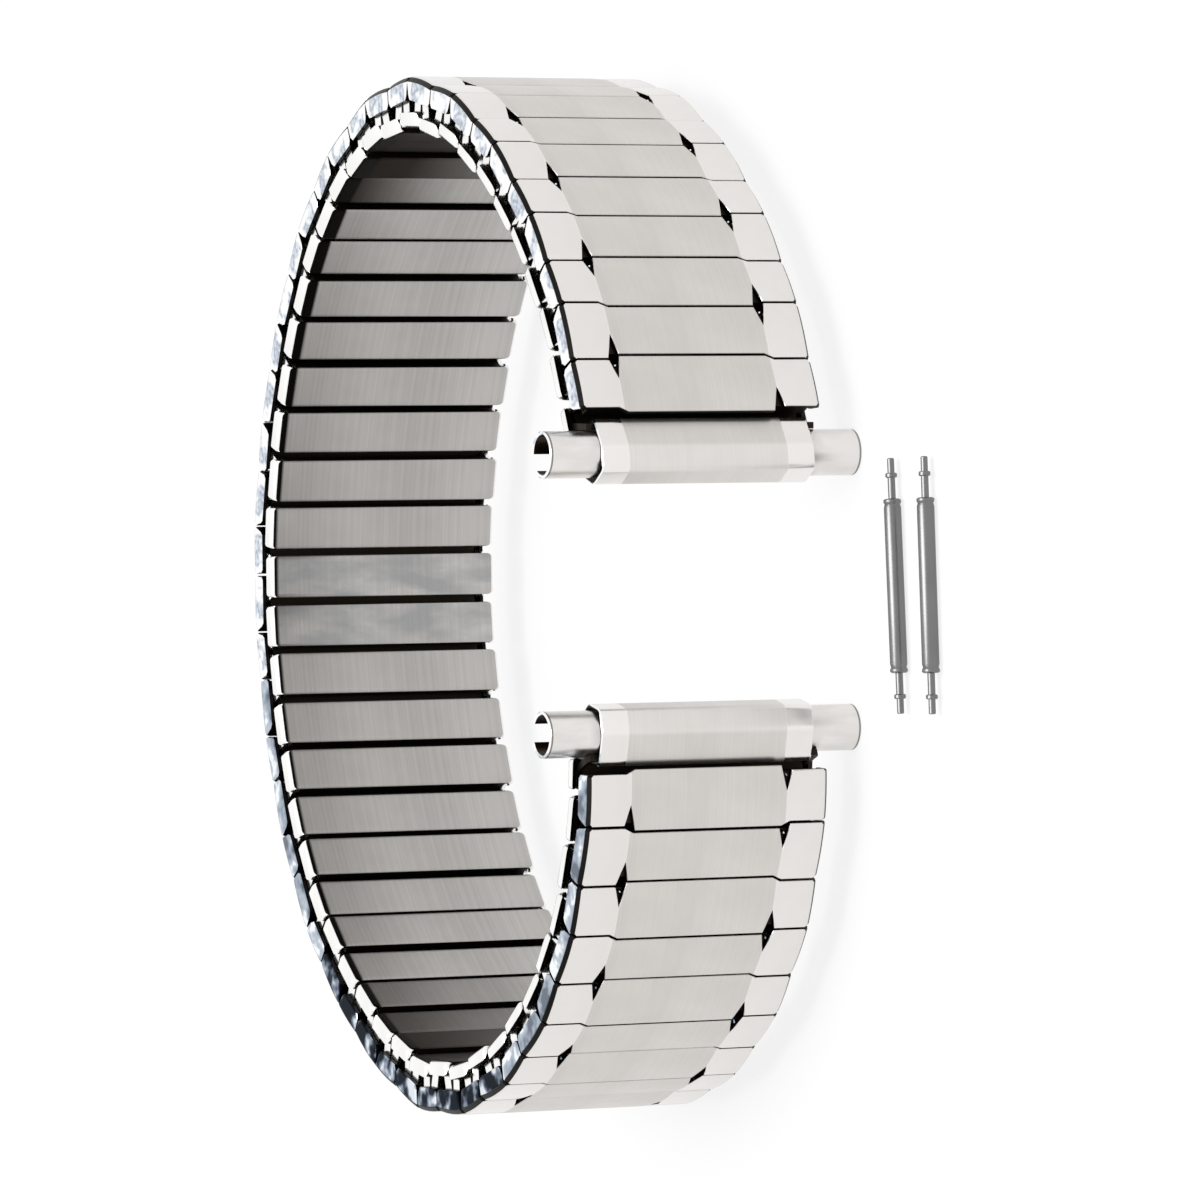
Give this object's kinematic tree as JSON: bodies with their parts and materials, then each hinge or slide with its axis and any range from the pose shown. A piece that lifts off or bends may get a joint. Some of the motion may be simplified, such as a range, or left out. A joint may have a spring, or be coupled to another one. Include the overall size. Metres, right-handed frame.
{
  "type": "expansion watch band",
  "caption": "Stainless expansion watch band of two-layer spring links with telescoping ends, closed in its relaxed ring, with loose spring bars.",
  "frame": {"origin": "middle of the part's box, on the floor under the band that lies on its side", "axes": "+Z across the band's width, with its left rim up; +X from the middle of the ring towards the opening for the watch; +Y towards the upper end piece"},
  "size_m": [0.068, 0.0692, 0.022],
  "materials": {
    "links": "brushed centre, polished edge zones and rims",
    "ends": "brushed barrel with polished end zones",
    "bars": "satin"
  },
  "bodies": {
    "link_01": {"link_01": "links"},
    "link_02": {"link_02": "links"},
    "link_03": {"link_03": "links"},
    "link_04": {"link_04": "links"},
    "link_05": {"link_05": "links"},
    "link_06": {"link_06": "links"},
    "link_07": {"link_07": "links"},
    "link_08": {"link_08": "links"},
    "link_09": {"link_09": "links"},
    "link_10": {"link_10": "links"},
    "link_11": {"link_11": "links"},
    "link_12": {"link_12": "links"},
    "link_13": {"link_13": "links"},
    "link_14": {"link_14": "links"},
    "link_15": {"link_15": "links"},
    "link_16": {"link_16": "links"},
    "link_17": {"link_17": "links"},
    "link_18": {"link_18": "links"},
    "link_19": {"link_19": "links"},
    "link_20": {"link_20": "links"},
    "link_21": {"link_21": "links"},
    "link_22": {"link_22": "links"},
    "link_23": {"link_23": "links"},
    "link_24": {"link_24": "links"},
    "link_25": {"link_25": "links"},
    "link_26": {"link_26": "links"},
    "link_27": {"link_27": "links"},
    "link_28": {"link_28": "links"},
    "link_29": {"link_29": "links"},
    "link_30": {"link_30": "links"},
    "link_31": {"link_31": "links"},
    "link_32": {"link_32": "links"},
    "link_33": {"link_33": "links"},
    "link_34": {"link_34": "links"},
    "link_35": {"link_35": "links"},
    "link_36": {"link_36": "links"},
    "link_37": {"link_37": "links"},
    "link_38": {"link_38": "links"},
    "link_39": {"link_39": "links"},
    "link_40": {"link_40": "links"},
    "link_41": {"link_41": "links"},
    "link_42": {"link_42": "links"},
    "link_43": {"link_43": "links"},
    "link_44": {"link_44": "links"},
    "link_45": {"link_45": "links"},
    "link_46": {"link_46": "links"},
    "link_47": {"link_47": "links"},
    "upper_end_shell": {"upper_end_shell": "ends"},
    "upper_tube_left": {"upper_tube_left": "ends"},
    "upper_tube_right": {"upper_tube_right": "ends"},
    "lower_end_shell": {"lower_end_shell": "ends"},
    "lower_tube_left": {"lower_tube_left": "ends"},
    "lower_tube_right": {"lower_tube_right": "ends"},
    "spring_bar_1_barrel": {"spring_bar_1_barrel": "bars"},
    "spring_bar_1_upper_tip": {"spring_bar_1_upper_tip": "bars"},
    "spring_bar_1_lower_tip": {"spring_bar_1_lower_tip": "bars"},
    "spring_bar_2_barrel": {"spring_bar_2_barrel": "bars"},
    "spring_bar_2_upper_tip": {"spring_bar_2_upper_tip": "bars"},
    "spring_bar_2_lower_tip": {"spring_bar_2_lower_tip": "bars"}
  },
  "joints": [
    {"name": "upper_stretch_01", "type": "slide", "parent": "link_02", "child": "link_01", "axis": [0.4035, -0.915, 0], "range_m": [0, 0.0008], "stiffness_N_per_m": 200},
    {"name": "upper_bend_02", "type": "hinge", "parent": "link_03", "child": "link_02", "pos_m": [0.01949, 0.01819, 0.011], "axis": [0, 0, 1], "range_deg": [0, 13]},
    {"name": "upper_stretch_03", "type": "slide", "parent": "link_04", "child": "link_03", "axis": [0.599, -0.8007, 0], "range_m": [0, 0.0008], "stiffness_N_per_m": 200},
    {"name": "upper_bend_04", "type": "hinge", "parent": "link_05", "child": "link_04", "pos_m": [0.015, 0.02419, 0.011], "axis": [0, 0, 1], "range_deg": [0, 12]},
    {"name": "upper_stretch_05", "type": "slide", "parent": "link_06", "child": "link_05", "axis": [0.7524, -0.6587, 0], "range_m": [0, 0.0008], "stiffness_N_per_m": 200},
    {"name": "upper_bend_06", "type": "hinge", "parent": "link_07", "child": "link_06", "pos_m": [0.00935, 0.02913, 0.011], "axis": [0, 0, 1], "range_deg": [0, 12.5]},
    {"name": "upper_stretch_07", "type": "slide", "parent": "link_08", "child": "link_07", "axis": [0.8771, -0.4802, 0], "range_m": [0, 0.0008], "stiffness_N_per_m": 200},
    {"name": "upper_bend_08", "type": "hinge", "parent": "link_09", "child": "link_08", "pos_m": [0.00277, 0.03273, 0.011], "axis": [0, 0, 1], "range_deg": [0, 16]},
    {"name": "upper_stretch_09", "type": "slide", "parent": "link_10", "child": "link_09", "axis": [0.9755, -0.2198, 0], "range_m": [0, 0.0008], "stiffness_N_per_m": 200},
    {"name": "upper_bend_10", "type": "hinge", "parent": "link_11", "child": "link_10", "pos_m": [-0.00454, 0.03438, 0.011], "axis": [0, 0, 1], "range_deg": [0, 19.5]},
    {"name": "upper_stretch_11", "type": "slide", "parent": "link_12", "child": "link_11", "axis": [0.993, 0.1184, 0], "range_m": [0, 0.0008], "stiffness_N_per_m": 200},
    {"name": "upper_bend_12", "type": "hinge", "parent": "link_13", "child": "link_12", "pos_m": [-0.01199, 0.0335, 0.011], "axis": [0, 0, 1], "range_deg": [0, 18]},
    {"name": "upper_stretch_13", "type": "slide", "parent": "link_14", "child": "link_13", "axis": [0.9078, 0.4195, 0], "range_m": [0, 0.0008], "stiffness_N_per_m": 200},
    {"name": "upper_bend_14", "type": "hinge", "parent": "link_15", "child": "link_14", "pos_m": [-0.0188, 0.03035, 0.011], "axis": [0, 0, 1], "range_deg": [0, 16]},
    {"name": "upper_stretch_15", "type": "slide", "parent": "link_16", "child": "link_15", "axis": [0.757, 0.6534, 0], "range_m": [0, 0.0008], "stiffness_N_per_m": 200},
    {"name": "upper_bend_16", "type": "hinge", "parent": "link_17", "child": "link_16", "pos_m": [-0.02448, 0.02545, 0.011], "axis": [0, 0, 1], "range_deg": [0, 14.5]},
    {"name": "upper_stretch_17", "type": "slide", "parent": "link_18", "child": "link_17", "axis": [0.5693, 0.8221, 0], "range_m": [0, 0.0008], "stiffness_N_per_m": 200},
    {"name": "upper_bend_18", "type": "hinge", "parent": "link_19", "child": "link_18", "pos_m": [-0.02875, 0.01928, 0.011], "axis": [0, 0, 1], "range_deg": [0, 10.5]},
    {"name": "upper_stretch_19", "type": "slide", "parent": "link_20", "child": "link_19", "axis": [0.4099, 0.9121, 0], "range_m": [0, 0.0008], "stiffness_N_per_m": 200},
    {"name": "upper_bend_20", "type": "hinge", "parent": "link_21", "child": "link_20", "pos_m": [-0.03182, 0.01244, 0.011], "axis": [0, 0, 1], "range_deg": [0, 10.5]},
    {"name": "upper_stretch_21", "type": "slide", "parent": "link_22", "child": "link_21", "axis": [0.2368, 0.9715, 0], "range_m": [0, 0.0008], "stiffness_N_per_m": 200},
    {"name": "upper_bend_22", "type": "hinge", "parent": "link_23", "child": "link_22", "pos_m": [-0.0336, 0.00516, 0.011], "axis": [0, 0, 1], "range_deg": [0, 13]},
    {"name": "upper_stretch_23", "type": "slide", "parent": "link_24", "child": "link_23", "axis": [0.0122, 0.9999, 0], "range_m": [0, 0.0008], "stiffness_N_per_m": 200},
    {"name": "lower_bend_24", "type": "hinge", "parent": "link_24", "child": "link_25", "pos_m": [-0.03369, -0.00234, 0.011], "axis": [0, 0, -1], "range_deg": [0, 11.5]},
    {"name": "lower_stretch_25", "type": "slide", "parent": "link_25", "child": "link_26", "axis": [0.1874, -0.9823, 0], "range_m": [0, 0.0008], "stiffness_N_per_m": 200},
    {"name": "lower_bend_26", "type": "hinge", "parent": "link_26", "child": "link_27", "pos_m": [-0.03228, -0.00971, 0.011], "axis": [0, 0, -1], "range_deg": [0, 10]},
    {"name": "lower_stretch_27", "type": "slide", "parent": "link_27", "child": "link_28", "axis": [0.3551, -0.9348, 0], "range_m": [0, 0.0008], "stiffness_N_per_m": 200},
    {"name": "lower_bend_28", "type": "hinge", "parent": "link_28", "child": "link_29", "pos_m": [-0.02962, -0.01672, 0.011], "axis": [0, 0, -1], "range_deg": [0, 12.5]},
    {"name": "lower_stretch_29", "type": "slide", "parent": "link_29", "child": "link_30", "axis": [0.549, -0.8358, 0], "range_m": [0, 0.0008], "stiffness_N_per_m": 200},
    {"name": "lower_bend_30", "type": "hinge", "parent": "link_30", "child": "link_31", "pos_m": [-0.0255, -0.02299, 0.011], "axis": [0, 0, -1], "range_deg": [0, 14.5]},
    {"name": "lower_stretch_31", "type": "slide", "parent": "link_31", "child": "link_32", "axis": [0.7408, -0.6717, 0], "range_m": [0, 0.0008], "stiffness_N_per_m": 200},
    {"name": "lower_bend_32", "type": "hinge", "parent": "link_32", "child": "link_33", "pos_m": [-0.01995, -0.02803, 0.011], "axis": [0, 0, -1], "range_deg": [0, 10.5]},
    {"name": "lower_stretch_33", "type": "slide", "parent": "link_33", "child": "link_34", "axis": [0.8508, -0.5255, 0], "range_m": [0, 0.0008], "stiffness_N_per_m": 200},
    {"name": "lower_bend_34", "type": "hinge", "parent": "link_34", "child": "link_35", "pos_m": [-0.01356, -0.03197, 0.011], "axis": [0, 0, -1], "range_deg": [0, 13]},
    {"name": "lower_stretch_35", "type": "slide", "parent": "link_35", "child": "link_36", "axis": [0.9472, -0.3206, 0], "range_m": [0, 0.0008], "stiffness_N_per_m": 200},
    {"name": "lower_bend_36", "type": "hinge", "parent": "link_36", "child": "link_37", "pos_m": [-0.00646, -0.03437, 0.011], "axis": [0, 0, -1], "range_deg": [0, 19]},
    {"name": "lower_stretch_37", "type": "slide", "parent": "link_37", "child": "link_38", "axis": [1, 0.0052, 0], "range_m": [0, 0.0008], "stiffness_N_per_m": 200},
    {"name": "lower_bend_38", "type": "hinge", "parent": "link_38", "child": "link_39", "pos_m": [0.00104, -0.03434, 0.011], "axis": [0, 0, -1], "range_deg": [0, 17]},
    {"name": "lower_stretch_39", "type": "slide", "parent": "link_39", "child": "link_40", "axis": [0.9548, 0.2974, 0], "range_m": [0, 0.0008], "stiffness_N_per_m": 200},
    {"name": "lower_bend_40", "type": "hinge", "parent": "link_40", "child": "link_41", "pos_m": [0.0082, -0.0321, 0.011], "axis": [0, 0, -1], "range_deg": [0, 16]},
    {"name": "lower_stretch_41", "type": "slide", "parent": "link_41", "child": "link_42", "axis": [0.8358, 0.549, 0], "range_m": [0, 0.0008], "stiffness_N_per_m": 200},
    {"name": "lower_bend_42", "type": "hinge", "parent": "link_42", "child": "link_43", "pos_m": [0.01447, -0.02799, 0.011], "axis": [0, 0, -1], "range_deg": [0, 17]},
    {"name": "lower_stretch_43", "type": "slide", "parent": "link_43", "child": "link_44", "axis": [0.6388, 0.7694, 0], "range_m": [0, 0.0008], "stiffness_N_per_m": 200},
    {"name": "lower_bend_44", "type": "hinge", "parent": "link_44", "child": "link_45", "pos_m": [0.01926, -0.02222, 0.011], "axis": [0, 0, -1], "range_deg": [0, 17.5]},
    {"name": "lower_stretch_45", "type": "slide", "parent": "link_45", "child": "link_46", "axis": [0.3778, 0.9259, 0], "range_m": [0, 0.0008], "stiffness_N_per_m": 200},
    {"name": "lower_bend_46", "type": "hinge", "parent": "link_46", "child": "link_47", "pos_m": [0.02209, -0.01527, 0.011], "axis": [0, 0, -1], "range_deg": [0, 16]},
    {"name": "upper_end_swing", "type": "hinge", "parent": "link_01", "child": "upper_end_shell", "pos_m": [0.02208, 0.01033, 0.011], "axis": [0, 0, 1], "range_deg": [0, 25]},
    {"name": "upper_left_tube_slide", "type": "slide", "parent": "upper_end_shell", "child": "upper_tube_left", "axis": [0, 0, -1], "range_m": [0, 0.003]},
    {"name": "upper_right_tube_slide", "type": "slide", "parent": "upper_end_shell", "child": "upper_tube_right", "axis": [0, 0, 1], "range_m": [0, 0.003]},
    {"name": "lower_end_swing", "type": "hinge", "parent": "link_47", "child": "lower_end_shell", "pos_m": [0.02178, -0.01072, 0.011], "axis": [0, 0, -1], "range_deg": [0, 25]},
    {"name": "lower_left_tube_slide", "type": "slide", "parent": "lower_end_shell", "child": "lower_tube_left", "axis": [0, 0, -1], "range_m": [0, 0.003]},
    {"name": "lower_right_tube_slide", "type": "slide", "parent": "lower_end_shell", "child": "lower_tube_right", "axis": [0, 0, 1], "range_m": [0, 0.003]},
    {"name": "spring_bar_1_lift", "type": "slide", "parent": "link_24", "child": "spring_bar_1_barrel", "axis": [0, 0, 1], "range_m": [0, 0.012]},
    {"name": "spring_bar_1_upper_tip_push", "type": "slide", "parent": "spring_bar_1_barrel", "child": "spring_bar_1_upper_tip", "axis": [0.048, -0.9988, 0], "range_m": [0, 0.0012], "stiffness_N_per_m": 500},
    {"name": "spring_bar_1_lower_tip_push", "type": "slide", "parent": "spring_bar_1_barrel", "child": "spring_bar_1_lower_tip", "axis": [-0.048, 0.9988, 0], "range_m": [0, 0.0012], "stiffness_N_per_m": 500},
    {"name": "spring_bar_2_lift", "type": "slide", "parent": "link_24", "child": "spring_bar_2_barrel", "axis": [0, 0, 1], "range_m": [0, 0.012]},
    {"name": "spring_bar_2_upper_tip_push", "type": "slide", "parent": "spring_bar_2_barrel", "child": "spring_bar_2_upper_tip", "axis": [0.0314, -0.9995, 0], "range_m": [0, 0.0012], "stiffness_N_per_m": 500},
    {"name": "spring_bar_2_lower_tip_push", "type": "slide", "parent": "spring_bar_2_barrel", "child": "spring_bar_2_lower_tip", "axis": [-0.0314, 0.9995, 0], "range_m": [0, 0.0012], "stiffness_N_per_m": 500}
  ],
  "couplings": [
    {"joint": "upper_stretch_01", "follows": "upper_stretch_23", "ratio": 1},
    {"joint": "upper_bend_02", "follows": "upper_bend_22", "ratio": 1},
    {"joint": "upper_stretch_03", "follows": "upper_stretch_23", "ratio": 1},
    {"joint": "upper_bend_04", "follows": "upper_bend_22", "ratio": 0.92308},
    {"joint": "upper_stretch_05", "follows": "upper_stretch_23", "ratio": 1},
    {"joint": "upper_bend_06", "follows": "upper_bend_22", "ratio": 0.96154},
    {"joint": "upper_stretch_07", "follows": "upper_stretch_23", "ratio": 1},
    {"joint": "upper_bend_08", "follows": "upper_bend_22", "ratio": 1.2308},
    {"joint": "upper_stretch_09", "follows": "upper_stretch_23", "ratio": 1},
    {"joint": "upper_bend_10", "follows": "upper_bend_22", "ratio": 1.5},
    {"joint": "upper_stretch_11", "follows": "upper_stretch_23", "ratio": 1},
    {"joint": "upper_bend_12", "follows": "upper_bend_22", "ratio": 1.3846},
    {"joint": "upper_stretch_13", "follows": "upper_stretch_23", "ratio": 1},
    {"joint": "upper_bend_14", "follows": "upper_bend_22", "ratio": 1.2308},
    {"joint": "upper_stretch_15", "follows": "upper_stretch_23", "ratio": 1},
    {"joint": "upper_bend_16", "follows": "upper_bend_22", "ratio": 1.1154},
    {"joint": "upper_stretch_17", "follows": "upper_stretch_23", "ratio": 1},
    {"joint": "upper_bend_18", "follows": "upper_bend_22", "ratio": 0.80769},
    {"joint": "upper_stretch_19", "follows": "upper_stretch_23", "ratio": 1},
    {"joint": "upper_bend_20", "follows": "upper_bend_22", "ratio": 0.80769},
    {"joint": "upper_stretch_21", "follows": "upper_stretch_23", "ratio": 1},
    {"joint": "lower_bend_26", "follows": "lower_bend_24", "ratio": 0.86957},
    {"joint": "lower_stretch_27", "follows": "lower_stretch_25", "ratio": 1},
    {"joint": "lower_bend_28", "follows": "lower_bend_24", "ratio": 1.087},
    {"joint": "lower_stretch_29", "follows": "lower_stretch_25", "ratio": 1},
    {"joint": "lower_bend_30", "follows": "lower_bend_24", "ratio": 1.2609},
    {"joint": "lower_stretch_31", "follows": "lower_stretch_25", "ratio": 1},
    {"joint": "lower_bend_32", "follows": "lower_bend_24", "ratio": 0.91304},
    {"joint": "lower_stretch_33", "follows": "lower_stretch_25", "ratio": 1},
    {"joint": "lower_bend_34", "follows": "lower_bend_24", "ratio": 1.1304},
    {"joint": "lower_stretch_35", "follows": "lower_stretch_25", "ratio": 1},
    {"joint": "lower_bend_36", "follows": "lower_bend_24", "ratio": 1.6522},
    {"joint": "lower_stretch_37", "follows": "lower_stretch_25", "ratio": 1},
    {"joint": "lower_bend_38", "follows": "lower_bend_24", "ratio": 1.4783},
    {"joint": "lower_stretch_39", "follows": "lower_stretch_25", "ratio": 1},
    {"joint": "lower_bend_40", "follows": "lower_bend_24", "ratio": 1.3913},
    {"joint": "lower_stretch_41", "follows": "lower_stretch_25", "ratio": 1},
    {"joint": "lower_bend_42", "follows": "lower_bend_24", "ratio": 1.4783},
    {"joint": "lower_stretch_43", "follows": "lower_stretch_25", "ratio": 1},
    {"joint": "lower_bend_44", "follows": "lower_bend_24", "ratio": 1.5217},
    {"joint": "lower_stretch_45", "follows": "lower_stretch_25", "ratio": 1},
    {"joint": "lower_bend_46", "follows": "lower_bend_24", "ratio": 1.3913}
  ]
}
